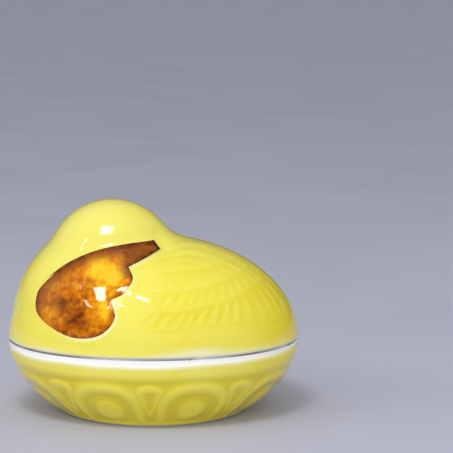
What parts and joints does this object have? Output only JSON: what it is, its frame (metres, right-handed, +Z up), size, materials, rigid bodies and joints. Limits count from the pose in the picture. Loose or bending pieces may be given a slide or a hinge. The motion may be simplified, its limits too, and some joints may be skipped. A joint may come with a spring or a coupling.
{
  "type": "incense box",
  "caption": "Oval lidded ceramic box shaped as a sleeping duck: a footed bowl carved with lotus petals and a hollow domed lid that lifts off a locating lip.",
  "frame": {"origin": "on the table, under the middle of the box's oval rim", "axes": "+X from the breast to the tail along the length, +Z up, the amber face is on the -Y flank"},
  "size_m": [0.072, 0.056, 0.0523],
  "materials": {
    "white_porcelain": "smooth unglazed to satin white porcelain",
    "yellow_glaze": "glossy yellow glaze, pooling darker in the carving",
    "amber_glaze": "glossy mottled amber-brown glaze"
  },
  "bodies": {
    "base": {"base_body": "white_porcelain", "base_yellow_glaze": "yellow_glaze"},
    "lid": {"lid_body": "white_porcelain", "lid_yellow_glaze": "yellow_glaze", "lid_amber_glaze": "amber_glaze"}
  },
  "joints": [
    {"name": "lid_lift", "type": "slide", "parent": "base", "child": "lid", "axis": [0, 0, 1], "range_m": [0, 0.06]}
  ]
}
